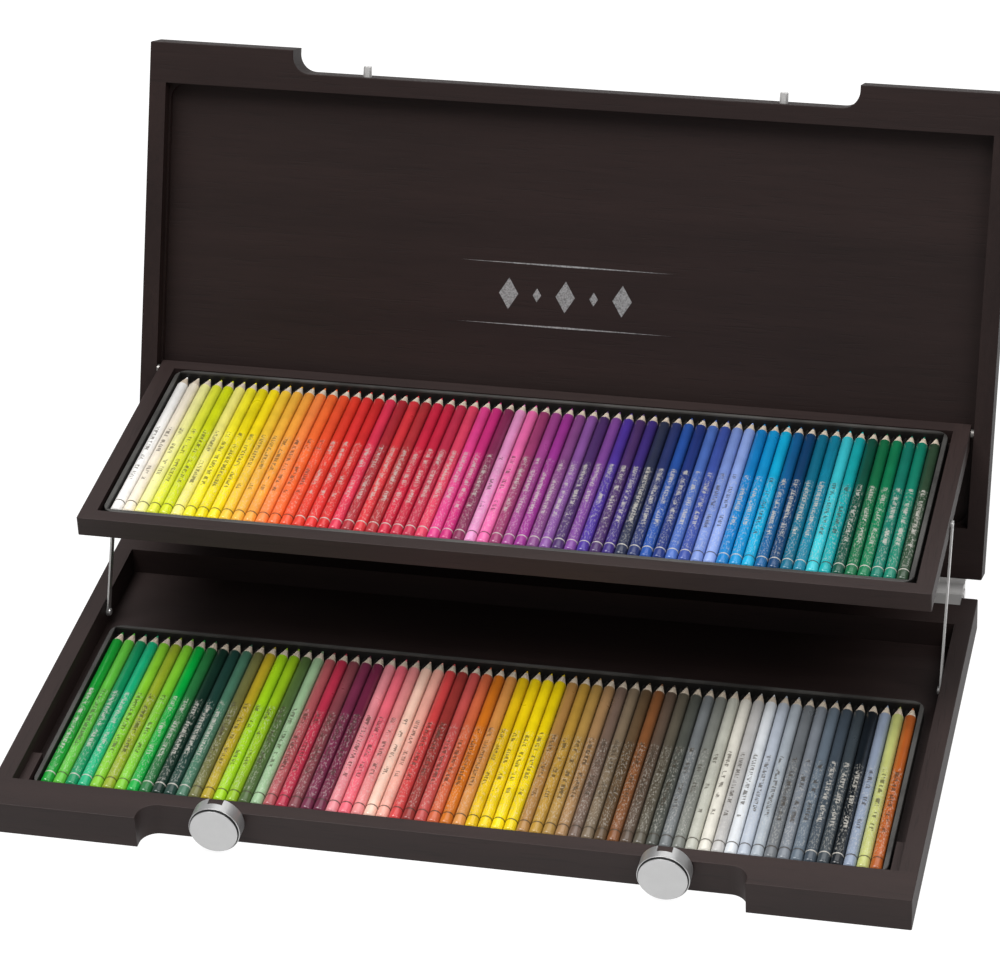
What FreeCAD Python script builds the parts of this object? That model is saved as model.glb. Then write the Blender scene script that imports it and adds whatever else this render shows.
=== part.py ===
import FreeCAD, Part
import math
import os

# A wooden case for coloured pencils, shown open. The base carries one row of pencils, a tray with a
# second row hangs between the leaning lid and two flat arms, and two turning knobs lock the lid.
# X runs to the right, Y to the back and Z up, in millimetres. The origin is on the underside of the
# base, in the middle of the case's plan. Lid pieces are drawn closed and then swung open.

# Case
base_height = 23.0
lid_height = 23.0
lid_seat_gap = 0.3
side_wall = 11.93
front_rail_width = 28.0
base_rear_width = 32.0
lid_rear_width = 35.0
floor_thickness = 4.0
case_corner_radius = 1.0
edge_radius = 0.6
recess_half_length = 197.0
recess_depth = 16.0
recess_corner_radius = 12.0
lid_panel_thickness = 6.7
lid_step_depth = 10.0
lid_land = 1.2
lid_lining_thickness = 1.3
lid_pocket_radius = 10.0
lid_bevel_width = 9.2
lid_bevel_drop = 1.4
lid_open_angle = 112.9

# Hinges
hinge_back = 10.0
hinge_drop = 4.8
hinge_barrel_radius = 7.75
hinge_inset = 11.0
hinge_length = 60.0
hinge_middle_length = 18.0
hinge_plate_thickness = 1.9
hinge_plate_foot = 2.0
hinge_lid_plate_rise = 17.0
hinge_web_thickness = 2.5
hinge_wing_reach = 9.0
hinge_wing_drop = 0.4
hinge_knuckle_clearance = 0.3
hinge_pin_radius = 3.0
hinge_pin_head_radius = 4.6
hinge_pin_head_height = 0.8
hinge_screw_spread = 21.0
hinge_screw_rise = 4.6
hinge_lid_screw_rise = 11.5
hinge_screw_radius = 1.6
hinge_screw_head_radius = 2.8
hinge_screw_head_height = 1.2
hinge_screw_length = 9.0

# Pencils and their inserts
upper_count = 64
upper_group_count = 8
lower_count = 66
lower_group_count = 6
pencil_length = 175.0
pencil_radius = 4.0
pencil_cone_length = 12.5
pencil_point_radius = 0.5
pencil_end_round = 1.3
upper_pitch = 8.38
lower_insert_side_gap = 8.67
insert_end_margin = 7.9
insert_rim_width = 3.0
insert_floor = 0.9
insert_rim_rise = 0.3
insert_corner_radius = 9.0
insert_rim_round = 0.7
insert_ridge_drop = 1.9
groove_clearance = 0.3
pencil_tip_gap = 0.4
pencil_front_gap = 2.6
lower_insert_front_gap = 8.5

# Tray and the arms that carry it
tray_rim_rise = 0.3
tray_side_width = 11.3
tray_front_width = 11.0
tray_rear_width = 10.0
tray_floor = 3.7
tray_side_gap = 2.4
tray_front_gap = 2.3
tray_corner_radius = 1.0
tray_rest_gap = 2.5
tray_rear_space = 61.7
insert_end_gap = 0.5
insert_side_gap = 2.5
tray_pivot_inset = 6.1
tray_pivot_drop = 3.5
tray_pin_radius = 2.0
tray_pin_depth = 5.5
tray_washer_radius = 2.9
tray_washer_gap = 0.3
wall_fixing_depth = 7.0
arm_thickness = 1.2
arm_width = 6.2
arm_base_from_rear = 95.0
arm_tray_lift = 4.8
arm_pin_radius = 1.7
arm_button_radius = 2.5
arm_button_gap = 0.1
arm_screw_head_radius = 2.6
arm_screw_head_height = 1.2
open_pivot_clearance = 0.25
running_clearance = 0.06
screw_slot_width = 0.8
screw_slot_depth = 0.6
screw_chamfer_share = 1 / 3
rest_block_width = 6.7
rest_block_length = 40.0
rest_block_drop = 1.6

# Knobs and the studs that they catch
knob_spread = 145.0
knob_drop = 4.8
knob_radius = 16.9
knob_length = 12.9
knob_face_rise = 1.6
knob_front_chamfer = 0.4
knob_rim_width = 1.1
knob_groove_width = 0.5
knob_groove_depth = 0.9
knob_channel_inner = 8.7
knob_channel_outer = 15.3
knob_channel_depth = 5.6
knob_slot_width = 9.7
knob_bore_depth = 7.5
knob_axle_radius = 3.0
knob_axle_end_gap = 0.4
knob_axle_depth = 10.0
knob_washer_radius = 6.5
knob_washer_thickness = 2.4
knob_washer_gap = 0.1
stud_radius = 3.0
stud_length = 7.5
stud_tip_chamfer = 0.6
stud_tail_radius = 2.0
stud_tail_length = 8.0

# One overrun serves every cut that has to break through a face
overrun = 2.0

X = FreeCAD.Vector(1, 0, 0)
Y = FreeCAD.Vector(0, 1, 0)

# The pencils set the size of the inserts, and those set the tray and the case round it
insert_height = insert_floor + groove_clearance + pencil_radius * 2 + insert_rim_rise
insert_depth = pencil_length + pencil_tip_gap + pencil_front_gap + insert_rim_width * 2
pencil_lift = insert_floor + groove_clearance + pencil_radius
upper_insert_half = upper_pitch * (upper_count - 1) / 2 + insert_end_margin
tray_inner_half = upper_insert_half + insert_side_gap
tray_half = tray_inner_half + tray_side_width
tray_height = tray_floor + insert_height + tray_rim_rise
tray_depth = tray_front_width + insert_end_gap * 2 + insert_depth + tray_rear_width
inner_half = tray_half + tray_side_gap
half_width = inner_half + side_wall
half_depth = (front_rail_width + tray_front_gap + tray_depth + tray_rear_space + base_rear_width) / 2
lower_insert_half = inner_half - lower_insert_side_gap
lower_pitch = (lower_insert_half - insert_end_margin) * 2 / (lower_count - 1)
front_inner = front_rail_width - half_depth
base_rear_inner = half_depth - base_rear_width
lid_rear_inner = half_depth - lid_rear_width
recess_face = recess_depth - half_depth
lid_rim = base_height + lid_seat_gap
lid_top = lid_rim + lid_height
lid_panel_under = lid_top - lid_panel_thickness
lid_step = lid_rim + lid_step_depth
hinge_y = half_depth + hinge_back
hinge_z = base_height - hinge_drop
hinge_outer = half_width - hinge_inset
hinge_inner = hinge_outer - hinge_length
hinge_centre = (hinge_outer + hinge_inner) / 2
wing_under = base_height - hinge_wing_drop - hinge_web_thickness
knuckle_length = (hinge_length - hinge_middle_length) / 2
knob_lift = base_height - knob_drop
stud_height = knob_lift + (knob_channel_inner + knob_channel_outer) / 2
arm_gap = (tray_side_gap - arm_thickness) / 2
arm_inside = tray_half + arm_gap
arm_outside = arm_inside + arm_thickness

tray_closed_lift = floor_thickness + insert_height + tray_rest_gap
tray_pivot_reach = hinge_back + base_rear_width + tray_rear_space + tray_pivot_inset
tray_pivot_rise = tray_closed_lift + tray_height - tray_pivot_drop - hinge_z
arm_base_back = half_depth - arm_base_from_rear
arm_base_lift = tray_closed_lift + arm_tray_lift - tray_pivot_rise

# The hinge line, the tray pivot on the lid and the two ends of each arm are the corners of a
# parallelogram, so the tray stays level. Each corner is a place along Y and a height.
lid_turn = math.radians(lid_open_angle)
swing_back = tray_pivot_rise * math.sin(lid_turn) - tray_pivot_reach * math.cos(lid_turn)
swing_rise = tray_pivot_reach * math.sin(lid_turn) + tray_pivot_rise * math.cos(lid_turn)
tray_shift = swing_back + tray_pivot_reach
tray_rise = swing_rise - tray_pivot_rise
tray_pivot_y = hinge_y + swing_back
tray_pivot_z = hinge_z + swing_rise
arm_tray_y = arm_base_back + swing_back
arm_tray_z = arm_base_lift + swing_rise
tray_front = front_inner + tray_front_gap + tray_shift
tray_rear = tray_front + tray_depth
tray_under = tray_closed_lift + tray_rise
tray_top = tray_under + tray_height


def at(x, y, z):
    return FreeCAD.Vector(x, y, z)


def box(x0, x1, y0, y1, z0, z1):
    return Part.makeBox(x1 - x0, y1 - y0, z1 - z0, at(x0, y0, z0))


def rod(start, direction, radius, length):
    return Part.makeCylinder(radius, length, start, direction)


def mirrored(shape):
    return shape.mirror(at(0, 0, 0), X)


def pair(shape):
    return [shape, mirrored(shape)]


def opened(shape):
    # Swings a piece of the closed lid about the hinge line to where the open lid leans
    return shape.rotated(at(0, hinge_y, hinge_z), X, -lid_open_angle)


def outline(corners, z):
    # A closed plan outline. Each corner is a place and the radius that rounds it.
    ends = []
    for i in range(len(corners)):
        x, y, radius = corners[i]
        here = at(x, y, z)
        before = at(corners[i - 1][0], corners[i - 1][1], z) - here
        after = at(corners[(i + 1) % len(corners)][0], corners[(i + 1) % len(corners)][1], z) - here
        before.normalize()
        after.normalize()
        if radius == 0:
            ends.append((here, None, here))
            continue
        half_turn = before.getAngle(after) / 2
        reach = radius / math.tan(half_turn)
        middle = before + after
        middle.normalize()
        top = here + middle * (radius / math.sin(half_turn) - radius)
        ends.append((here + before * reach, top, here + after * reach))
    edges = []
    for i in range(len(ends)):
        start, top, stop = ends[i]
        if top is not None:
            edges.append(Part.Arc(start, top, stop).toShape())
        edges.append(Part.LineSegment(stop, ends[(i + 1) % len(ends)][0]).toShape())
    return Part.Wire(edges)


def slab(corners, z0, z1):
    return Part.Face(outline(corners, z0)).extrude(at(0, 0, z1 - z0))


def plan(x0, x1, y0, y1, radius):
    return [(x0, y0, radius), (x1, y0, radius), (x1, y1, radius), (x0, y1, radius)]


def softened(shape, radius, chosen):
    # Rounds the edges whose middle passes the test
    edges = []
    for edge in shape.Edges:
        if chosen(edge.CenterOfMass, edge.BoundBox):
            edges.append(edge)
    return shape.makeFillet(radius, edges)


def screw(place, direction, radius, length, head_radius, head_height, slot_along):
    # A slotted screw: its head stands on the place and its shank runs the other way
    shank = rod(place - direction * length, direction, radius, length)
    head = rod(place, direction, head_radius, head_height)
    head = head.makeChamfer(head_height * screw_chamfer_share, [head.Edges[0]])
    across = direction.cross(slot_along)
    low = place + direction * (head_height - screw_slot_depth) - across * (screw_slot_width / 2)
    slot = Part.makePolygon([
        low - slot_along * head_radius * 2,
        low + slot_along * head_radius * 2,
        low + slot_along * head_radius * 2 + across * screw_slot_width,
        low - slot_along * head_radius * 2 + across * screw_slot_width,
        low - slot_along * head_radius * 2])
    slot = Part.Face(slot).extrude(direction * (screw_slot_depth + overrun))
    return shank.fuse(head).cut(slot).removeSplitter()


def save(node, solids):
    Part.makeCompound(solids).exportStep("parts/" + node + ".step")


def front_rail_plan():
    # The front rail steps back between the two knobs' ends, with a round inner corner at each end
    return [
        (-half_width, -half_depth, case_corner_radius),
        (-recess_half_length, -half_depth, 0),
        (-recess_half_length, recess_face, recess_corner_radius),
        (recess_half_length, recess_face, recess_corner_radius),
        (recess_half_length, -half_depth, 0),
        (half_width, -half_depth, case_corner_radius),
        (half_width, front_inner, 0),
        (-half_width, front_inner, 0)]


def rear_rail_plan(inner):
    return [
        (-half_width, inner, 0),
        (half_width, inner, 0),
        (half_width, half_depth, case_corner_radius),
        (-half_width, half_depth, case_corner_radius)]


def outer_edges(height):
    # Tests for the edges of a rail that run round the outside of the case at one height
    def chosen(middle, bounds):
        level = bounds.ZLength < edge_radius and abs(middle.z - height) < edge_radius / 2
        outside = abs(middle.x) > half_width - case_corner_radius
        front = bounds.YMax < front_inner - edge_radius
        rear = middle.y > half_depth - case_corner_radius
        return level and (outside or front or rear)
    return chosen


def bored(shape, holes):
    for hole in holes:
        shape = shape.cut(hole)
    return shape


def base_rails():
    front = slab(front_rail_plan(), 0, base_height)
    front = softened(front, edge_radius, outer_edges(base_height))
    for side in (-1, 1):
        front = front.cut(rod(at(side * knob_spread, recess_face - overrun, knob_lift), Y,
                              knob_axle_radius, overrun + knob_axle_depth))
    rear = slab(rear_rail_plan(base_rear_inner), 0, base_height)
    rear = softened(rear, edge_radius, outer_edges(base_height))
    seat = box(hinge_inner, hinge_outer, half_depth - hinge_wing_reach, half_depth + overrun,
               wing_under, base_height + overrun)
    rear = bored(rear, pair(seat) + hinge_base_screw_holes())
    side = box(inner_half, half_width, front_inner, base_rear_inner, 0, base_height)
    side = softened(side, edge_radius, outer_edges(base_height))
    hole = rod(at(inner_half - overrun, arm_base_back, arm_base_lift), X, arm_pin_radius,
               overrun + wall_fixing_depth)
    side = side.cut(hole)
    save("base_front_rail", [front])
    save("base_rear_rail", [rear])
    save("base_right_rail", [side])
    save("base_left_rail", [mirrored(side)])
    save("base_floor_panel", [box(-inner_half, inner_half, front_inner, base_rear_inner, 0, floor_thickness)])
    block = slab(plan(inner_half - rest_block_width, inner_half, front_inner,
                      front_inner + rest_block_length, 0),
                 floor_thickness, tray_closed_lift - rest_block_drop)
    save("base_rest_blocks", pair(block))


def lid_case():
    front = slab(front_rail_plan(), lid_rim, lid_panel_under)
    front = softened(front, edge_radius, outer_edges(lid_rim))
    for side in (-1, 1):
        front = front.cut(rod(at(side * knob_spread, recess_face - overrun, stud_height), Y,
                              stud_tail_radius, overrun + stud_tail_length))
    rear = slab(rear_rail_plan(lid_rear_inner), lid_rim, lid_panel_under)
    bevel = Part.makePolygon([
        at(-half_width - overrun, half_depth - lid_bevel_width, lid_rim),
        at(-half_width - overrun, half_depth, lid_rim + lid_bevel_drop),
        at(-half_width - overrun, half_depth + overrun, lid_rim + lid_bevel_drop),
        at(-half_width - overrun, half_depth + overrun, lid_rim - overrun),
        at(-half_width - overrun, half_depth - lid_bevel_width, lid_rim - overrun),
        at(-half_width - overrun, half_depth - lid_bevel_width, lid_rim)])
    rear = rear.cut(Part.Face(bevel).extrude(X * (half_width + overrun) * 2))
    rear = bored(rear, hinge_lid_screw_holes())
    side = box(inner_half, half_width, front_inner, lid_rear_inner, lid_rim, lid_panel_under)
    side = softened(side, edge_radius, outer_edges(lid_rim))
    hole = rod(at(inner_half - overrun, hinge_y - tray_pivot_reach, hinge_z + tray_pivot_rise), X,
               tray_pin_radius, overrun + wall_fixing_depth)
    side = side.cut(hole)
    save("lid_front_rail", [opened(front)])
    save("lid_rear_rail", [opened(rear)])
    save("lid_right_rail", [opened(side)])
    save("lid_left_rail", [opened(mirrored(side))])

    panel = front_rail_plan()[:6] + [(half_width, half_depth, case_corner_radius),
                                     (-half_width, half_depth, case_corner_radius)]
    panel = softened(slab(panel, lid_panel_under, lid_top), edge_radius,
                     lambda middle, bounds: bounds.ZMin > lid_top - edge_radius)
    save("lid_top_panel", [opened(panel)])

    # A thin frame lines the pocket and gives it round corners and a small step
    pocket = plan(-inner_half + lid_land, inner_half - lid_land, front_inner + lid_land,
                  lid_rear_inner - lid_land, lid_pocket_radius)
    frame = box(-inner_half, inner_half, front_inner, lid_rear_inner, lid_step, lid_panel_under)
    frame = frame.cut(slab(pocket, lid_step - overrun, lid_panel_under + overrun))
    save("lid_inner_frame", [opened(frame)])
    save("lid_lining", [opened(slab(pocket, lid_panel_under - lid_lining_thickness, lid_panel_under))])


def lid_studs():
    studs = []
    for side in (-1, 1):
        body = rod(at(side * knob_spread, recess_face - stud_length, stud_height), Y, stud_radius,
                   stud_length)
        body = body.makeChamfer(stud_tip_chamfer, [edge for edge in body.Edges
                                                   if edge.CenterOfMass.y < recess_face - stud_length / 2
                                                   and edge.BoundBox.YLength < stud_length / 2])
        tail = rod(at(side * knob_spread, recess_face, stud_height), Y, stud_tail_radius, stud_tail_length)
        studs.append(opened(body.fuse(tail)))
    save("lid_studs", studs)


def hinge_screw_places():
    return [hinge_centre - hinge_screw_spread, hinge_centre + hinge_screw_spread]


def hinge_base_screw_holes():
    holes = []
    for x in hinge_screw_places():
        hole = rod(at(x, half_depth - hinge_screw_length, hinge_screw_rise + hinge_plate_foot), Y,
                   hinge_screw_radius, hinge_screw_length + overrun)
        holes += pair(hole)
    return holes


def hinge_lid_screw_holes():
    holes = []
    for x in hinge_screw_places():
        hole = rod(at(x, half_depth - hinge_screw_length, lid_rim + hinge_lid_screw_rise), Y,
                   hinge_screw_radius, hinge_screw_length + overrun)
        holes += pair(hole)
    return holes


def hinges():
    middle_start = hinge_inner + knuckle_length
    middle_stop = hinge_outer - knuckle_length
    rear = half_depth + hinge_plate_thickness
    bore = rod(at(hinge_inner - overrun, hinge_y, hinge_z), X, hinge_pin_radius + running_clearance,
               hinge_length + overrun * 2)
    swept = hinge_barrel_radius + hinge_knuckle_clearance

    # The base leaf is a plate on the case's back and a wing let into the top of the rear rail
    base = box(hinge_inner, hinge_outer, half_depth, rear, hinge_plate_foot, wing_under)
    base = base.fuse(box(hinge_inner, hinge_outer, half_depth - hinge_wing_reach, hinge_y, wing_under,
                         wing_under + hinge_web_thickness))
    base = base.cut(rod(at(middle_start, hinge_y, hinge_z), X, swept, hinge_middle_length))
    for start, stop in ((hinge_inner, middle_start), (middle_stop, hinge_outer)):
        base = base.fuse(rod(at(start, hinge_y, hinge_z), X, hinge_barrel_radius, stop - start))
        base = base.fuse(box(start, stop, half_depth, hinge_y, hinge_z - hinge_barrel_radius,
                             hinge_z - hinge_barrel_radius + hinge_web_thickness))
    base = bored(base, [bore] + hinge_base_screw_holes()).removeSplitter()
    save("hinge_base_leaves", pair(base))

    # The lid leaf has one middle knuckle, and its web runs clear of the knuckles on either side
    start = middle_start + hinge_knuckle_clearance
    stop = middle_stop - hinge_knuckle_clearance
    web_top = hinge_z + hinge_barrel_radius
    lid = box(hinge_inner, hinge_outer, half_depth, rear, lid_rim + lid_bevel_drop,
              lid_rim + hinge_lid_plate_rise)
    lid = lid.fuse(box(hinge_inner, hinge_outer, half_depth, hinge_y,
                       web_top - hinge_web_thickness + lid_seat_gap, web_top))
    lid = lid.cut(rod(at(hinge_inner, hinge_y, hinge_z), X, swept, start - hinge_inner))
    lid = lid.cut(rod(at(stop, hinge_y, hinge_z), X, swept, hinge_outer - stop))
    lid = lid.fuse(rod(at(start, hinge_y, hinge_z), X, hinge_barrel_radius, stop - start))
    lid = bored(lid, [bore] + hinge_lid_screw_holes()).removeSplitter()
    save("hinge_lid_leaves", pair(opened(lid)))

    pin = rod(at(hinge_inner, hinge_y, hinge_z), X, hinge_pin_radius, hinge_length)
    for x in (hinge_inner - hinge_pin_head_height, hinge_outer):
        head = rod(at(x, hinge_y, hinge_z), X, hinge_pin_head_radius, hinge_pin_head_height)
        pin = pin.fuse(head)
    save("hinge_pins", pair(pin.removeSplitter()))

    base_screws = []
    lid_screws = []
    for x in hinge_screw_places():
        base_screws += pair(screw(at(x, rear, hinge_screw_rise + hinge_plate_foot), Y, hinge_screw_radius,
                                  hinge_screw_length + hinge_plate_thickness, hinge_screw_head_radius,
                                  hinge_screw_head_height, X))
        lid_screws += pair(opened(screw(at(x, rear, lid_rim + hinge_lid_screw_rise), Y, hinge_screw_radius,
                                        hinge_screw_length + hinge_plate_thickness,
                                        hinge_screw_head_radius, hinge_screw_head_height, X)))
    save("hinge_base_screws", base_screws)
    save("hinge_lid_screws", lid_screws)


def tray():
    tray_inner_front = tray_front + tray_front_width
    tray_inner_rear = tray_rear - tray_rear_width

    def top_outside(middle, bounds):
        level = bounds.ZLength < edge_radius and middle.z > tray_top - edge_radius
        side = abs(middle.x) > tray_half - tray_corner_radius
        return level and (side or middle.y < tray_front + tray_corner_radius)

    front = slab([(-tray_half, tray_front, tray_corner_radius), (tray_half, tray_front, tray_corner_radius),
                  (tray_half, tray_inner_front, 0), (-tray_half, tray_inner_front, 0)], tray_under, tray_top)
    front = softened(front, edge_radius / 2, top_outside)
    side = box(tray_inner_half, tray_half, tray_inner_front, tray_rear, tray_under, tray_top)
    side = softened(side, edge_radius / 2, top_outside)
    pivot_hole = rod(at(tray_half - tray_pin_depth, tray_pivot_y, tray_pivot_z), X,
                     tray_pin_radius + running_clearance, tray_pin_depth + overrun)
    arm_hole = rod(at(tray_half - tray_pin_depth, arm_tray_y, arm_tray_z), X, arm_pin_radius,
                   tray_pin_depth + overrun)
    side = side.cut(pivot_hole).cut(arm_hole)
    save("tray_front_rail", [front])
    save("tray_right_rail", [side])
    save("tray_left_rail", [mirrored(side)])
    save("tray_rear_rail", [box(-tray_inner_half, tray_inner_half, tray_inner_rear, tray_rear,
                                tray_under, tray_top)])
    save("tray_floor_panel", [box(-tray_inner_half, tray_inner_half, tray_inner_front, tray_inner_rear,
                                  tray_under, tray_under + tray_floor)])

    # Pins stand in the lid's sides and carry the rear of the tray
    closed_y = hinge_y - tray_pivot_reach
    closed_z = hinge_z + tray_pivot_rise
    start = tray_half - tray_pin_depth + tray_washer_gap
    pin = rod(at(start, closed_y, closed_z), X, tray_pin_radius, inner_half + wall_fixing_depth - start)
    washer = rod(at(tray_half + tray_washer_gap, closed_y, closed_z), X, tray_washer_radius,
                 tray_side_gap - tray_washer_gap)
    save("tray_pivot_pins", pair(opened(pin.fuse(washer).removeSplitter())))


def arms():
    arm = rod(at(arm_inside, arm_base_back, arm_base_lift), X, arm_width / 2, arm_thickness)
    arm = arm.fuse(rod(at(arm_inside, arm_tray_y, arm_tray_z), X, arm_width / 2, arm_thickness))
    along = at(0, swing_back, swing_rise)
    along.normalize()
    across = along.cross(X) * (arm_width / 2)
    foot = at(arm_inside, arm_base_back, arm_base_lift)
    head = at(arm_inside, arm_tray_y, arm_tray_z)
    strip = Part.makePolygon([foot - across, head - across, head + across, foot + across, foot - across])
    arm = arm.fuse(Part.Face(strip).extrude(X * arm_thickness)).removeSplitter()
    foot_hole = rod(foot - X * overrun, X, arm_pin_radius + running_clearance, arm_thickness + overrun * 2)
    head_hole = rod(head - X * overrun, X, arm_pin_radius + open_pivot_clearance, arm_thickness + overrun * 2)
    arm = arm.cut(foot_hole).cut(head_hole)
    save("right_arm", [arm])
    save("left_arm", [mirrored(arm)])

    # Each arm turns on a screw in the base's side, with a collar that keeps it off the wall
    seat = at(arm_inside - arm_button_gap, arm_base_back, arm_base_lift)
    foot_screw = screw(seat, -X, arm_pin_radius, inner_half + wall_fixing_depth - seat.x,
                       arm_screw_head_radius, arm_screw_head_height, along)
    collar = rod(at(arm_outside + arm_button_gap, arm_base_back, arm_base_lift), X, arm_button_radius,
                 arm_gap - arm_button_gap)
    save("arm_base_screws", pair(foot_screw.fuse(collar).removeSplitter()))

    # The tray hangs on a plain pin at the arm's other end, with a collar against the tray's side
    pin = rod(at(tray_half - tray_pin_depth, arm_tray_y, arm_tray_z), X, arm_pin_radius,
              arm_outside - tray_half + tray_pin_depth)
    collar = rod(at(tray_half, arm_tray_y, arm_tray_z), X, arm_button_radius, arm_gap - arm_button_gap)
    save("arm_tray_pins", pair(pin.fuse(collar).removeSplitter()))


def insert(front, under, half, pitch, count):
    # A moulded black insert with a rounded rim and one groove for each pencil
    body = slab(plan(-half, half, front, front + insert_depth, insert_corner_radius), under,
                under + insert_height)
    body = softened(body, insert_rim_round, lambda middle, bounds: bounds.ZMin > under + insert_height / 2)
    groove = pencil_radius + groove_clearance
    axis = under + pencil_lift
    ridge = axis - insert_ridge_drop
    reach = math.sqrt(groove * groove - insert_ridge_drop * insert_ridge_drop)
    inner = half - insert_rim_width
    start = front + insert_rim_width
    top = under + insert_height + overrun
    edges = []
    last = at(-inner, start, ridge)
    for i in range(count):
        x = pitch * (i - (count - 1) / 2)
        entry = at(x - reach, start, ridge)
        leave = at(x + reach, start, ridge)
        edges.append(Part.LineSegment(last, entry).toShape())
        edges.append(Part.Arc(entry, at(x, start, axis - groove), leave).toShape())
        last = leave
    for corner in (at(inner, start, ridge), at(inner, start, top), at(-inner, start, top),
                   at(-inner, start, ridge)):
        edges.append(Part.LineSegment(last, corner).toShape())
        last = corner
    hollow = Part.Face(Part.Wire(edges)).extrude(Y * (insert_depth - insert_rim_width * 2))
    return body.cut(hollow)


def pencil(x, front, under):
    # A round pencil: a domed blunt end at the front, then the barrel and a sharpened cone
    rear = front + insert_depth - insert_rim_width - pencil_tip_gap
    start = rear - pencil_length
    shoulder = rear - pencil_cone_length
    lift = under + pencil_lift
    bend = pencil_end_round * (1 - math.sqrt(2) / 2)
    edges = [
        Part.LineSegment(at(x, start, lift), at(x, start, lift + pencil_radius - pencil_end_round)),
        Part.Arc(at(x, start, lift + pencil_radius - pencil_end_round),
                 at(x, start + bend, lift + pencil_radius - bend),
                 at(x, start + pencil_end_round, lift + pencil_radius)),
        Part.LineSegment(at(x, start + pencil_end_round, lift + pencil_radius),
                         at(x, shoulder, lift + pencil_radius)),
        Part.LineSegment(at(x, shoulder, lift + pencil_radius), at(x, rear, lift + pencil_point_radius)),
        Part.LineSegment(at(x, rear, lift + pencil_point_radius), at(x, rear, lift)),
        Part.LineSegment(at(x, rear, lift), at(x, start, lift))]
    profile = Part.Face(Part.Wire([edge.toShape() for edge in edges]))
    return profile.revolve(at(x, start, lift), Y, 360)


def pencil_row(name, front, under, pitch, count, group_count):
    group_size = count // group_count
    for group in range(group_count):
        pencils = []
        for i in range(group * group_size, (group + 1) * group_size):
            pencils.append(pencil(pitch * (i - (count - 1) / 2), front, under))
        save(name + "_" + str(group + 1), pencils)


def front_chamfered(body):
    front_edges = [edge for edge in body.Edges if edge.BoundBox.YMax < body.BoundBox.YMin + knob_front_chamfer]
    return body.makeChamfer(knob_front_chamfer, front_edges)


def knobs():
    back = recess_face - knob_washer_thickness
    face = back - knob_length
    rim = face + knob_face_rise
    face_radius = knob_radius - knob_rim_width
    # The flat face stands forward of the rim, with a narrow groove round its foot
    body = front_chamfered(rod(at(knob_spread, rim, knob_lift), Y, knob_radius, back - rim))
    pocket = rod(at(knob_spread, rim - overrun, knob_lift), Y, face_radius + knob_groove_width,
                 overrun + knob_groove_depth)
    raised = front_chamfered(rod(at(knob_spread, face, knob_lift), Y, face_radius,
                                 knob_face_rise + knob_groove_depth))
    outer = rod(at(knob_spread, back - knob_channel_depth, knob_lift), Y, knob_channel_outer,
                knob_channel_depth + overrun)
    core = rod(at(knob_spread, back - knob_channel_depth, knob_lift), Y, knob_channel_inner,
               knob_channel_depth + overrun)
    slot = box(knob_spread - knob_slot_width / 2, knob_spread + knob_slot_width / 2,
               back - knob_channel_depth, back + overrun, knob_lift + knob_channel_inner,
               knob_lift + knob_radius + overrun)
    bore = rod(at(knob_spread, back - knob_bore_depth, knob_lift), Y, knob_axle_radius + running_clearance,
               knob_bore_depth + overrun)
    body = body.cut(pocket).fuse(raised).removeSplitter().cut(outer.cut(core)).cut(slot).cut(bore)
    save("right_knob", [body])
    save("left_knob", [mirrored(body)])
    start = back - knob_bore_depth + knob_axle_end_gap
    axle = rod(at(knob_spread, start, knob_lift), Y, knob_axle_radius, recess_face + knob_axle_depth - start)
    collar = rod(at(knob_spread, back + knob_washer_gap, knob_lift), Y, knob_washer_radius,
                 knob_washer_thickness - knob_washer_gap)
    save("knob_axles", pair(axle.fuse(collar).removeSplitter()))


os.makedirs("parts", exist_ok=True)
base_rails()
lid_case()
lid_studs()
hinges()
tray()
arms()
knobs()
upper_front = tray_front + tray_front_width + insert_end_gap
upper_under = tray_under + tray_floor
lower_front = front_inner + lower_insert_front_gap
save("upper_insert", [insert(upper_front, upper_under, upper_insert_half, upper_pitch, upper_count)])
save("lower_insert", [insert(lower_front, floor_thickness, lower_insert_half, lower_pitch, lower_count)])
pencil_row("upper_pencils", upper_front, upper_under, upper_pitch, upper_count, upper_group_count)
pencil_row("lower_pencils", lower_front, floor_thickness, lower_pitch, lower_count, lower_group_count)
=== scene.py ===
import math

import bpy
from mathutils import Matrix, Vector


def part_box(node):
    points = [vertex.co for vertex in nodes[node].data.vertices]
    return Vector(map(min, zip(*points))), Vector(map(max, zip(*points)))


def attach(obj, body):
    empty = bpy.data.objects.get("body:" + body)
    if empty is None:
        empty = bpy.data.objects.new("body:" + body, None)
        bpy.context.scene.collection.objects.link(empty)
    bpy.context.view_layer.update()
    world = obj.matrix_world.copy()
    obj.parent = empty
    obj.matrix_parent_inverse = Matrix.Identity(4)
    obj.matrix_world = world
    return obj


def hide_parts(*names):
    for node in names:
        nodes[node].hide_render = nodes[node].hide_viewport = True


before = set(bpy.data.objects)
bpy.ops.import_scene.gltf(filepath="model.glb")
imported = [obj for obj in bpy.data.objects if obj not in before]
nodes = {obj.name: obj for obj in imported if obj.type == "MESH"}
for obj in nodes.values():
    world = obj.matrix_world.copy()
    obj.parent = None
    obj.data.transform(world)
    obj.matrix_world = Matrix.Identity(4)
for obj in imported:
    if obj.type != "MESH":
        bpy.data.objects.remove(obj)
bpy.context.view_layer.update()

# The studio: a plain pale floor, soft lamps and the camera of a product photograph, which looks
# down on the open case from the front right. None of it belongs to the case.
camera_place = Vector((0.54713, -2.15304, 1.61980))
camera_turn = math.radians(-15.579)
camera_tilt = math.radians(32.643)
camera_roll = math.radians(-3.641)
lens_length = 149.13
lens_shift = 0.10
floor_size = 12.0
floor_tone = (0.80, 0.80, 0.80, 1)
sky_tone = (1.0, 1.0, 1.0, 1)
sky_strength = 0.34

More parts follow.
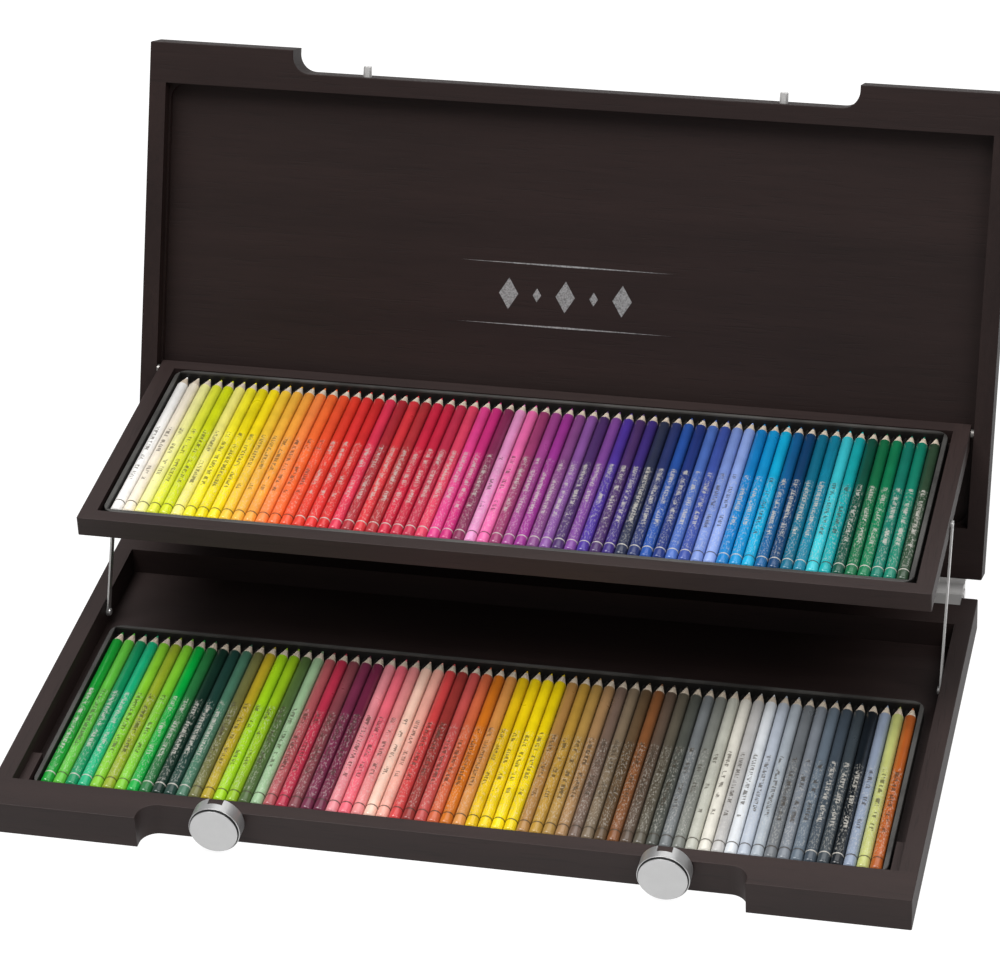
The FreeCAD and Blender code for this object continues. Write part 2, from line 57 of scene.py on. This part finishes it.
ahead = Vector((math.sin(camera_turn) * math.cos(camera_tilt), math.cos(camera_turn) * math.cos(camera_tilt),
                -math.sin(camera_tilt)))
level = Vector((math.cos(camera_turn), -math.sin(camera_turn), 0))
over = level.cross(ahead)
right = level * math.cos(camera_roll) + over * math.sin(camera_roll)
above = over * math.cos(camera_roll) - level * math.sin(camera_roll)
camera = bpy.data.objects.new("camera", bpy.data.cameras.new("camera"))
bpy.context.scene.collection.objects.link(camera)
camera.matrix_world = Matrix.Translation(camera_place) @ Matrix((right, above, -ahead)).transposed().to_4x4()
camera.data.lens = lens_length
camera.data.sensor_width = 36
camera.data.shift_x = lens_shift
camera.data.clip_end = 50
bpy.context.scene.camera = camera
bpy.context.scene.view_settings.view_transform = "Standard"


def soft_lamp(name, place, target, size, power):
    # A large rectangular lamp that points at a target
    lamp = bpy.data.objects.new(name, bpy.data.lights.new(name, "AREA"))
    bpy.context.scene.collection.objects.link(lamp)
    lamp.data.shape = "RECTANGLE"
    lamp.data.size = size[0]
    lamp.data.size_y = size[1]
    lamp.data.energy = power
    lamp.location = place
    lamp.rotation_euler = (Vector(target) - Vector(place)).to_track_quat("-Z", "Y").to_euler()


def deselect():
    bpy.ops.object.select_all(action="DESELECT")


case_middle = (0, 0.02, 0.1)
lid_middle = (0, 0.1, 0.2)
soft_lamp("key_lamp", place=(-0.9, -0.45, 2.7), target=case_middle, size=(2.0, 1.4), power=90)
soft_lamp("fill_lamp", place=(1.5, -0.8, 2.3), target=case_middle, size=(1.8, 1.4), power=38)
soft_lamp("back_lamp", place=(0.3, 1.9, 1.9), target=lid_middle, size=(2.4, 1.0), power=14)


class Wire:
    # One output of a shader node. Arithmetic on it adds Math nodes to the same finish.
    def __init__(self, finish, socket):
        self.finish = finish
        self.socket = socket

    def math(self, operation, first, second=0.0):
        return self.finish.add("ShaderNodeMath", {"operation": operation}, {0: first, 1: second})

    def __add__(self, other):
        return self.math("ADD", self, other)

    def __radd__(self, other):
        return self.math("ADD", other, self)

    def __sub__(self, other):
        return self.math("SUBTRACT", self, other)

    def __rsub__(self, other):
        return self.math("SUBTRACT", other, self)

    def __mul__(self, other):
        return self.math("MULTIPLY", self, other)

    def __rmul__(self, other):
        return self.math("MULTIPLY", other, self)

    def __gt__(self, other):
        return self.math("GREATER_THAN", self, other)

    def __lt__(self, other):
        return self.math("LESS_THAN", self, other)

    def __abs__(self):
        return self.math("ABSOLUTE", self)


class Finish:
    # A node material, built one node at a time around one Principled shader
    def __init__(self, name):
        self.material = bpy.data.materials.new(name)
        self.material.use_nodes = True
        self.tree = self.material.node_tree
        self.shader = self.tree.nodes["Principled BSDF"]
        self.object_place = self.add("ShaderNodeTexCoord", output="Object")

    def add(self, kind, settings=None, sockets=None, output=0):
        node = self.tree.nodes.new(kind)
        for name, value in (settings or {}).items():
            if name == "stops":
                for extra in value[2:]:
                    node.color_ramp.elements.new(extra[0])
                for stop, (position, colour) in zip(node.color_ramp.elements, value):
                    stop.position = position
                    stop.color = colour
            else:
                setattr(node, name, value)
        for name, value in (sockets or {}).items():
            self.join(value, node.inputs[name])
        return Wire(self, node.outputs[output])

    def join(self, value, socket):
        if isinstance(value, Wire):
            self.tree.links.new(value.socket, socket)
        else:
            socket.default_value = value

    def mix(self, factor, first, second):
        return self.add("ShaderNodeMix", {"data_type": "RGBA"}, {0: factor, 6: first, 7: second}, 2)

    def noise(self, scale, detail=3.0, roughness=0.55, stretch=(1, 1, 1), place=None):
        spot = self.add("ShaderNodeMapping", {}, {"Vector": place or self.object_place, "Scale": stretch})
        return self.add("ShaderNodeTexNoise", {}, {"Vector": spot, "Scale": scale, "Detail": detail,
                                                   "Roughness": roughness})

    def ramp(self, factor, stops):
        return self.add("ShaderNodeValToRGB", {"stops": stops}, {"Fac": factor})

    def bump(self, height, strength, distance):
        return self.add("ShaderNodeBump", {}, {"Height": height, "Strength": strength, "Distance": distance})

    def set(self, **sockets):
        for name, value in sockets.items():
            self.join(value, self.shader.inputs[name.replace("_", " ")])
        return self.material


def seen_directly(finish):
    # One where the camera, a reflection or a pane of glass looks straight at the floor or the sky
    kinds = finish.tree.nodes.new("ShaderNodeLightPath")
    camera_ray, glossy_ray, glass_ray = [
        Wire(finish, kinds.outputs[name]) for name in ("Is Camera Ray", "Is Glossy Ray", "Is Transmission Ray")]
    return camera_ray.math("MAXIMUM", camera_ray.math("MAXIMUM", camera_ray, glossy_ray), glass_ray)


floor_shadow_share = 0.18
floor_glow = 1.15
deselect()
bpy.ops.mesh.primitive_plane_add(size=floor_size, location=(0, 0, 0))
floor = bpy.context.object
floor.name = "floor"
floor_finish = Finish("floor_paper")
floor_finish.set(Base_Color=floor_tone, Roughness=0.9)
glow = floor_finish.add("ShaderNodeEmission", {}, {"Color": (1, 1, 1, 1), "Strength": floor_glow})
mixed = floor_finish.add("ShaderNodeMixShader", {}, {
    0: seen_directly(floor_finish) * (1 - floor_shadow_share),
    1: Wire(floor_finish, floor_finish.shader.outputs[0]), 2: glow})
floor_finish.join(mixed, floor_finish.tree.nodes["Material Output"].inputs["Surface"])
floor.data.materials.append(floor_finish.material)

world = bpy.data.worlds.new("studio")
bpy.context.scene.world = world
world.use_nodes = True
sky = world.node_tree.nodes["Background"]
sky.inputs["Color"].default_value = sky_tone
paths = world.node_tree.nodes.new("ShaderNodeLightPath")
strength = world.node_tree.nodes.new("ShaderNodeMapRange")
strength.inputs["To Min"].default_value = sky_strength
strength.inputs["To Max"].default_value = 1.0
world.node_tree.links.new(paths.outputs["Is Camera Ray"], strength.inputs["Value"])
world.node_tree.links.new(strength.outputs["Result"], sky.inputs["Strength"])


# The case: solid rails and thin panels of fine-grained hardwood, stained almost black and rubbed to
# a satin sheen. The grain runs along each board, with open pores.
# The lid's boards are a darker copy of the same wood, painted shade on the leaning lid, and they shine less.
case_dark = (0.0132, 0.0074, 0.0068, 1)
case_pale = (0.0250, 0.0146, 0.0132, 1)
case_shine = 0.28
# Painted shade: the lid's two wood colours are the case's colours made darker.
lid_shaded_dark = (0.0085, 0.0044, 0.0040, 1)
lid_shaded_pale = (0.0165, 0.0088, 0.0078, 1)
lid_shine = 0.17
pore_tone = (0.008, 0.005, 0.0045, 1)
grain_along = 5.0
grain_across = 95.0
figure_scale = 0.35
fibre_scale = 5
pore_scale = 9
wood_roughness = 0.46
wood_relief = 0.0003


def stained_wood(name, grain, dark, pale, shine):
    finish = Finish(name)
    stretch = [grain_across, grain_across, grain_across]
    stretch["XYZ".index(grain)] = grain_along
    figure = finish.noise(1.0, 4.0, 0.6, tuple(value * figure_scale for value in stretch))
    fibre = finish.noise(1.0, 2.0, 0.7, tuple(value * fibre_scale for value in stretch))
    pores = finish.noise(1.0, 1.0, 0.5, tuple(value * pore_scale for value in stretch))
    cloud = finish.noise(4.0, 2.0, 0.5)
    tone = figure * 0.55 + fibre * 0.25 + cloud * 0.30
    colour = finish.ramp(tone, [(0.36, dark), (0.72, pale)])
    pore_mask = finish.ramp(pores, [(0.30, (1, 1, 1, 1)), (0.40, (0, 0, 0, 1))])
    colour = finish.mix(pore_mask * 0.35, colour, pore_tone)
    height = figure * 0.4 + fibre * 0.5 - pore_mask * 0.5
    return finish.set(Base_Color=colour, Roughness=fibre * 0.12 + cloud * 0.10 + wood_roughness,
                      Specular_IOR_Level=shine, Normal=finish.bump(height, 0.25, wood_relief))


def dress(names, material):
    for name in names:
        nodes[name].data.materials.clear()
        nodes[name].data.materials.append(material)


wood_long = stained_wood("stained_wood_long", "X", case_dark, case_pale, case_shine)
wood_cross = stained_wood("stained_wood_cross", "Y", case_dark, case_pale, case_shine)
# The lid's boards take the darker colours, as painted shade.
shaded_wood_lid_long = stained_wood("stained_wood_lid_long", "X", lid_shaded_dark, lid_shaded_pale, lid_shine)
shaded_wood_lid_rise = stained_wood("stained_wood_lid_rise", "Z", lid_shaded_dark, lid_shaded_pale, lid_shine)
dress(["base_front_rail", "base_rear_rail", "base_floor_panel", "tray_front_rail", "tray_rear_rail",
       "tray_floor_panel"], wood_long)
dress(["base_left_rail", "base_right_rail", "base_rest_blocks", "tray_left_rail", "tray_right_rail"],
      wood_cross)
dress(["lid_front_rail", "lid_rear_rail", "lid_top_panel", "lid_lining", "lid_inner_frame"], shaded_wood_lid_long)
dress(["lid_left_rail", "lid_right_rail"], shaded_wood_lid_rise)


# The lid's ornament: a plain device of lozenges between two rules, in dull silver foil on the lid's
# lining. It is drawn flat about the device's own middle and then laid on the leaning lid.
hinge_line = Vector((0, 0.175, 0.0182))
lid_angle = math.radians(112.9)
lining_height = 0.0383
ornament_middle = -0.005
ornament_thickness = 0.00008
rule_length = 0.150
rule_width = 0.0013
rule_spread = 0.0215
lozenge_radius = 0.0110
lozenge_small_radius = 0.0048
lozenge_pitch = 0.0200
lozenge_width_share = 0.62


def dull_foil(name):
    finish = Finish(name)
    wear_and_sheen = finish.noise(900.0, 3.0, 0.6)
    colour = finish.ramp(wear_and_sheen, [(0.35, (0.13, 0.13, 0.13, 1)), (0.60, (0.30, 0.30, 0.30, 1))])
    return finish.set(Base_Color=colour, Roughness=wear_and_sheen * 0.2 + 0.35, Metallic=0.5)


def lay_on_lid(piece):
    # From flat, seen from above, to the underside of the closed lid and then to the open lid
    turn_over = Matrix.Translation((0, ornament_middle, lining_height)) @ Matrix.Rotation(math.pi, 4, "X")
    swing = (Matrix.Translation(hinge_line) @ Matrix.Rotation(-lid_angle, 4, "X")
             @ Matrix.Translation(-hinge_line))
    piece.data.transform(swing @ turn_over)


def lozenge(x, y, radius, width_share):
    bpy.ops.mesh.primitive_cylinder_add(vertices=4, radius=radius, depth=ornament_thickness * 2,
                                        location=(x, y, 0))
    piece = bpy.context.object
    piece.scale = (width_share, 1, 1)
    return piece


deselect()
strokes = []
for i in range(-2, 3):
    strokes.append(lozenge(i * lozenge_pitch, 0, lozenge_radius if i % 2 == 0 else lozenge_small_radius,
                           lozenge_width_share))
for side in (-1, 1):
    strokes.append(lozenge(0, side * rule_spread, rule_length / 2, rule_width / rule_length))
    strokes[-1].rotation_euler = (0, 0, math.pi / 2)
for piece in strokes:
    piece.select_set(True)
bpy.context.view_layer.objects.active = strokes[0]
bpy.ops.object.transform_apply(location=True, rotation=True, scale=True)
bpy.ops.object.join()
ornament = bpy.context.object
ornament.name = "lid_ornament"
ornament.data.materials.append(dull_foil("ornament_foil"))
lay_on_lid(ornament)
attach(ornament, "lid")


# The inserts: thin black plastic, moulded with one groove for each pencil and a rolled rim.
# The skin is dull with a faint grain, and the top of the rim is painted a lighter grey in patches, a painted
# highlight.
rim_depth = 0.0011


def moulded_black(name, node):
    finish = Finish(name)
    rim_top = (nodes[node].matrix_world.inverted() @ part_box(node)[1]).z
    place = finish.add("ShaderNodeSeparateXYZ", {}, {"Vector": finish.object_place}, "Z")
    grain = finish.noise(2400.0, 2.0, 0.6)
    cloud = finish.noise(30.0, 3.0, 0.5)
    wear_and_sheen = finish.ramp(cloud, [(0.35, (0.4, 0.4, 0.4, 1)), (0.60, (1, 1, 1, 1))])
    # Painted highlight: a patchy lighter grey band along the top of the rim.
    rim_painted_highlight = (place > rim_top - rim_depth) * wear_and_sheen
    colour = finish.ramp(cloud, [(0.30, (0.0050, 0.0045, 0.0042, 1)), (0.70, (0.0090, 0.0082, 0.0076, 1))])
    colour = finish.mix(rim_painted_highlight, colour, (0.055, 0.053, 0.050, 1))
    return finish.set(Base_Color=colour, Roughness=cloud * 0.2 + 0.42, Specular_IOR_Level=0.35,
                      Normal=finish.bump(grain, 0.15, 0.0001))


dress(["upper_insert"], moulded_black("moulded_black_upper", "upper_insert"))
dress(["lower_insert"], moulded_black("moulded_black_lower", "lower_insert"))


# The pencils: round cedar barrels in gloss lacquer, dipped at the blunt end behind a thin ring and
# sharpened to a bare wooden cone with a coloured lead. Small foil dashes run along each barrel.
pencil_length = 0.175
pencil_radius = 0.0040
pencil_sides = 20
cap_length = 0.0095
ring_length = 0.0012
ring_drop = 0.00012
ring_wall = 0.00005
lacquer_edge = 0.00016
lacquer_lip = 0.0002
cone_length = 0.0125
lead_start = 0.1718
lead_radius = 0.0013
lead_step = 0.00004
tip_radius = 0.0004
smooth_angle = math.radians(40)
roll_step = 12.9
roll_reach = 0.12
marks_start = 0.036
marks_stop = 0.104
marks_half_width = 0.055
fleck_start = 0.0125
fleck_half_width = 0.13
pale_foil = (0.42, 0.40, 0.36, 1)
dark_foil = (0.040, 0.030, 0.020, 1)
fleck_tone = (0.55, 0.53, 0.48, 1)
marks_cover = 0.72
fleck_cover = 0.26
lacquer_depth = 0.40
upper_light_weights = (1.01, 3.41)
lower_light_weights = (14.0, 0.0)

# One pigment for each pencil from left to right, listed one by one
upper_pigments = (
    "F4F2EF EFE4CF F0EC9A DEE23A CDD70F F1E87C F2E629 E8D60E F6DC14 F0C335 EFB03C F2A03C "
    "F58642 F06A30 E8502C DC3A28 DB3230 CC2A2A DA3350 A72832 D4343C AC2E34 C82440 C22440 "
    "B82C48 D84060 DC4088 C82C78 7E2850 DF8FC0 EA6AA8 963868 9C4088 98308C 804480 845098 "
    "4A2C64 7C4494 4A3094 4A2E64 3C2A78 2A3048 283468 2450A0 203478 4A6CB8 3A50A0 7890D0 "
    "8CA4E0 0C7CC0 0890CC 08A8D4 0A5A90 083C68 086884 087C98 38C0CC 0CA0A4 084C3C 0C6840 "
    "08764C 0C7462 0A7C64 2C4430").split()
lower_pigments = (
    "149030 5CB83C 108A58 18AC78 84C830 90A428 7CC430 06A43C 246C38 122E24 1C3C34 44705A "
    "6A6A3C B09A24 9CCA1C 90B81C 4C6434 94B48C A85458 B43048 804048 742C48 6C2440 E08890 "
    "E86878 E08888 F4C8B4 ECA898 CC4444 943430 C0504C CC6440 CC701C D08C48 E4BC14 ECCC10 "
    "F4D810 E8CC0C A87C44 B48C38 A88444 A07C54 705C50 786854 5E4A34 80502E 5C4C40 5A5448 "
    "4E504A 74787A 7C7E78 BCBCB0 E0DCD0 BCBAB8 DCE0E4 B8C0CC A8B0B8 6C7074 7C828A 64707C "
    "404A54 3A4248 141A20 8C98AC BCC074 B05A24").split()


def linear(code):
    # A pigment's six hexadecimal digits as a linear colour
    parts = [int(code[i:i + 2], 16) / 255 for i in (0, 2, 4)]
    return [part / 12.92 if part <= 0.04045 else ((part + 0.055) / 1.055) ** 2.4 for part in parts] + [1.0]


def drawn_out(name, sides, start, direction, steps):
    # A turned piece: a disc drawn out along one direction, scaled to each step's radius
    deselect()
    bpy.ops.mesh.primitive_circle_add(vertices=sides, radius=steps[0][1], fill_type="NGON", location=start,
                                      rotation=direction.to_track_quat("Z", "Y").to_euler())
    piece = bpy.context.object
    piece.name = name
    bpy.ops.object.transform_apply(location=True, rotation=True, scale=True)
    bpy.ops.object.mode_set(mode="EDIT")
    bpy.ops.mesh.select_all(action="SELECT")
    last, radius = steps[0]
    for place, wide in steps[1:]:
        bpy.ops.mesh.extrude_region_move(TRANSFORM_OT_translate={"value": direction * (place - last)})
        centre = start + direction * (place - steps[0][0])
        bpy.ops.transform.resize(value=(wide / radius,) * 3, center_override=centre)
        last, radius = place, wide
    bpy.ops.mesh.select_all(action="SELECT")
    bpy.ops.mesh.normals_make_consistent(inside=False)
    bpy.ops.object.mode_set(mode="OBJECT")
    return piece


def pigment_of(finish, weights):
    # A pencil's own colour, and the foil that shows on it: dark on a light pencil, pale on a dark one.
    # The weights of its red and green parts say which pencils of a row are light.
    pigment = finish.add("ShaderNodeAttribute", {"attribute_name": "pigment"}, output="Color")
    red = finish.add("ShaderNodeSeparateColor", {}, {"Color": pigment}, "Red")
    green = Wire(finish, red.socket.node.outputs["Green"])
    light = red * weights[0] + green * weights[1] > 1.0
    foil = finish.mix(light, pale_foil, dark_foil)
    return pigment, foil


def lacquer(name, weights):
    # Gloss lacquer with a broken row of small foil dashes along the top of the barrel
    finish = Finish(name)
    pigment, foil = pigment_of(finish, weights)
    flow = finish.noise(60.0, 2.0, 0.5)
    shade = finish.mix(flow * lacquer_depth, pigment, (0.0, 0.0, 0.0, 1))
    spot = finish.add("ShaderNodeUVMap", {"uv_map": "barrel"})
    parts = finish.add("ShaderNodeSeparateXYZ", {}, {"Vector": spot}, "X")
    along = Wire(finish, parts.socket.node.outputs["Y"])
    strokes = finish.noise(1.0, 1.0, 0.5, (260, 640, 0)) > 0.50
    groups = finish.noise(1.0, 0.0, 0.5, (30, 85, 0)) > 0.42
    marks = (abs(parts) < marks_half_width) * (along > marks_start) * (along < marks_stop) * strokes * groups
    specks = finish.noise(1.0, 1.0, 0.6, (950, 420, 0)) > 0.56
    flecks = (abs(parts) < fleck_half_width) * (along > fleck_start) * (along < marks_stop) * specks
    shade = finish.mix(flecks * fleck_cover, shade, fleck_tone)
    return finish.set(Base_Color=finish.mix(marks * marks_cover, shade, foil), Roughness=flow * 0.12 + 0.24,
                      Coat_Weight=0.20, Normal=finish.bump(flow, 0.05, 0.0003))


def bare_cedar(name):
    finish = Finish(name)
    grain = finish.noise(1.0, 3.0, 0.6, (900, 60, 900))
    colour = finish.ramp(grain, [(0.30, (0.44, 0.36, 0.27, 1)), (0.70, (0.66, 0.57, 0.46, 1))])
    return finish.set(Base_Color=colour, Roughness=0.75, Normal=finish.bump(grain, 0.4, 0.0002))


def lead(name):
    finish = Finish(name)
    pigment = finish.add("ShaderNodeAttribute", {"attribute_name": "pigment"}, output="Color")
    chalk = finish.noise(1500.0, 2.0, 0.6)
    colour = finish.mix(chalk * 0.3, pigment, (0.02, 0.02, 0.02, 1))
    return finish.set(Base_Color=colour, Roughness=0.55, Normal=finish.bump(chalk, 0.3, 0.0001))


def foil_ring(name, weights):
    finish = Finish(name)
    pigment, foil = pigment_of(finish, weights)
    wear_and_sheen = finish.noise(500.0, 2.0, 0.6)
    return finish.set(Base_Color=finish.mix(wear_and_sheen * 0.25, foil, pigment), Roughness=wear_and_sheen * 0.2 + 0.25)


cedar = bare_cedar("pencil_cedar")
core = lead("pencil_lead")
upper_finishes = [lacquer("upper_lacquer", upper_light_weights), foil_ring("upper_ring", upper_light_weights),
                  cedar, core]
lower_finishes = [lacquer("lower_lacquer", lower_light_weights), foil_ring("lower_ring", lower_light_weights),
                  cedar, core]
shoulder = pencil_length - cone_length
pencil_steps = [
    (0.0, 0.0016), (0.00020, 0.0026), (0.00060, 0.0033), (0.0013, 0.00385), (0.0022, pencil_radius),
    (cap_length, pencil_radius), (cap_length + ring_wall, pencil_radius - ring_drop),
    (cap_length + ring_length, pencil_radius - ring_drop),
    (cap_length + ring_length + ring_wall, pencil_radius), (shoulder - lacquer_lip, pencil_radius),
    (shoulder, pencil_radius - lacquer_edge), (lead_start, lead_radius),
    (lead_start + ring_wall, lead_radius - lead_step), (pencil_length - 0.0005, tip_radius + 0.00015),
    (pencil_length - 0.0001, tip_radius)]
pattern = drawn_out("pencil_pattern", pencil_sides, Vector((0, 0, 0)), Vector((0, 1, 0)), pencil_steps)
for material in upper_finishes:
    pattern.data.materials.append(material)
for face in pattern.data.polygons:
    middle = face.center.y
    if middle > lead_start:
        face.material_index = 3
    elif middle > shoulder - lacquer_lip:
        face.material_index = 2
    elif cap_length < middle < cap_length + ring_length + ring_wall:
        face.material_index = 1
barrel_map = pattern.data.uv_layers.new(name="barrel")
for loop in pattern.data.loops:
    point = pattern.data.vertices[loop.vertex_index].co
    barrel_map.data[loop.index].uv = (math.atan2(point.x, point.z) / math.tau, point.y)
deselect()
pattern.select_set(True)
bpy.context.view_layer.objects.active = pattern
bpy.ops.object.shade_smooth_by_angle(angle=smooth_angle)


def pencil_row(row, pigments, finishes, group_count, body):
    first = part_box(row + "_pencils_1")
    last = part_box("%s_pencils_%d" % (row, group_count))
    start_x = first[0].x + pencil_radius
    pitch = (last[1].x - pencil_radius - start_x) / (len(pigments) - 1)
    front = first[0].y
    height = (first[0].z + first[1].z) / 2
    size = len(pigments) // group_count
    for group in range(group_count):
        copies = []
        for i in range(group * size, (group + 1) * size):
            pencil = pattern.copy()
            pencil.data = pattern.data.copy()
            for slot, material in enumerate(finishes):
                pencil.data.materials[slot] = material
            bpy.context.scene.collection.objects.link(pencil)
            turn = Matrix.Rotation(math.sin(i * roll_step) * roll_reach, 4, "Y")
            pencil.data.transform(Matrix.Translation((start_x + pitch * i, front, height)) @ turn)
            colour = pencil.data.attributes.new("pigment", "FLOAT_COLOR", "POINT")
            tint = linear(pigments[i])
            for value in colour.data:
                value.color = tint
            copies.append(pencil)
        deselect()
        for pencil in copies:
            pencil.select_set(True)
        bpy.context.view_layer.objects.active = copies[0]
        bpy.ops.object.join()
        joined = bpy.context.object
        node = "%s_pencils_%d" % (row, group + 1)
        joined.name = "%s_row_%d" % (row, group + 1)
        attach(joined, body)
        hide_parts(node)


pencil_row("upper", upper_pigments, upper_finishes, 8, "tray")
pencil_row("lower", lower_pigments, lower_finishes, 6, "base")
bpy.data.objects.remove(pattern)


# The fittings: flat arms, hinges, pins, screws and studs of satin steel, and two turned aluminium
# knobs. Fine tool marks and small stains break up the shine, and painted shade darkens the knobs' seams.
rim_width = 0.0011
shaded_seam_width = 0.0006
front_edge = 0.0003
seam_shade_tone = (0.030, 0.030, 0.030, 1)
stain_shade = 0.82


def painted_seam_shade(finish, node):
    # One in the seam between a knob's raised face and its rim, where a dark ring of painted shade goes
    low, high = [nodes[node].matrix_world.inverted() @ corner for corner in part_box(node)]
    middle = (low + high) / 2
    face_radius = (high.z - low.z) / 2 - rim_width
    across = finish.add("ShaderNodeSeparateXYZ", {}, {"Vector": finish.object_place}, "X")
    along, rise = [Wire(finish, across.socket.node.outputs[name]) for name in "YZ"]
    across, rise = across - middle.x, rise - middle.z
    radius = across.math("SQRT", across * across + rise * rise)
    ring = (radius > face_radius - shaded_seam_width / 4) * (radius < face_radius + shaded_seam_width)
    return ring * (along > low.y + front_edge)


def satin_metal(name, tone, low, high, metal=1.0, knob=None):
    finish = Finish(name)
    brushed = finish.noise(1.0, 2.0, 0.6, (900, 60, 900))
    stain = finish.noise(120.0, 3.0, 0.6)
    dark = tuple(part * stain_shade for part in tone) + (1,)
    colour = finish.mix(stain * 0.6, tone + (1,), dark)
    if knob:
        # Painted shade: a dark ring in the seam around each knob's face.
        colour = finish.mix(painted_seam_shade(finish, knob) * 0.9, colour, seam_shade_tone)
    return finish.set(Base_Color=colour, Metallic=metal, Roughness=brushed * (high - low) + low,
                      Normal=finish.bump(brushed, 0.1, 0.0001))


steel = satin_metal("satin_steel", (0.62, 0.61, 0.60), 0.24, 0.44, 0.70)
nickel = satin_metal("satin_nickel", (0.50, 0.49, 0.48), 0.30, 0.50, 0.45)
burnished = satin_metal("burnished_steel", (0.20, 0.19, 0.18), 0.30, 0.50, 0.80)
dress(["hinge_base_leaves", "hinge_lid_leaves"], nickel)
dress(["left_arm", "right_arm", "hinge_pins", "lid_studs",
       "hinge_base_screws", "hinge_lid_screws", "arm_base_screws", "arm_tray_pins", "knob_axles"], steel)
dress(["tray_pivot_pins"], burnished)
for knob in ("left_knob", "right_knob"):
    dress([knob], satin_metal("aluminium_" + knob, (0.52, 0.52, 0.52), 0.30, 0.50, 0.85, knob))
